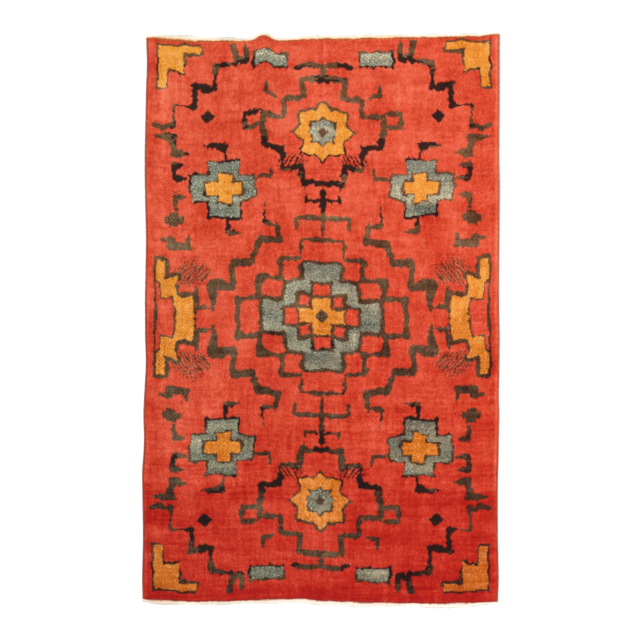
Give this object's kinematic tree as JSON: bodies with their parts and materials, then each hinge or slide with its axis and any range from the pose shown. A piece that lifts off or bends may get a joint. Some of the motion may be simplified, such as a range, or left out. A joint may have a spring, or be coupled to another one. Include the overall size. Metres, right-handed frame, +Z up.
{
  "type": "hand-knotted wool pile rug",
  "caption": "Flat rectangular hand-knotted wool rug lying open, with overcast sides and narrow flat-woven ends; covers and softens a floor.",
  "frame": {"origin": "middle of the rug's bounding box, on the floor that it lies on", "axes": "+X across the rug's width, +Y along its warps and its longest side, towards the end with the ripple, +Z up out of the floor through the pile"},
  "size_m": [1.5318, 2.464, 0.0187],
  "materials": {
    "wool_pile": "cut wool pile, coral red with dark, orange and slate areas",
    "wool_overcast": "wool overcast cord, dusty red",
    "cotton_weave": "flat cotton weave, undyed cream"
  },
  "bodies": {
    "root": {"pile_field": "wool_pile", "selvedge_left": "wool_overcast", "selvedge_right": "wool_overcast", "woven_end_far": "cotton_weave", "woven_end_near": "cotton_weave"}
  },
  "joints": []
}
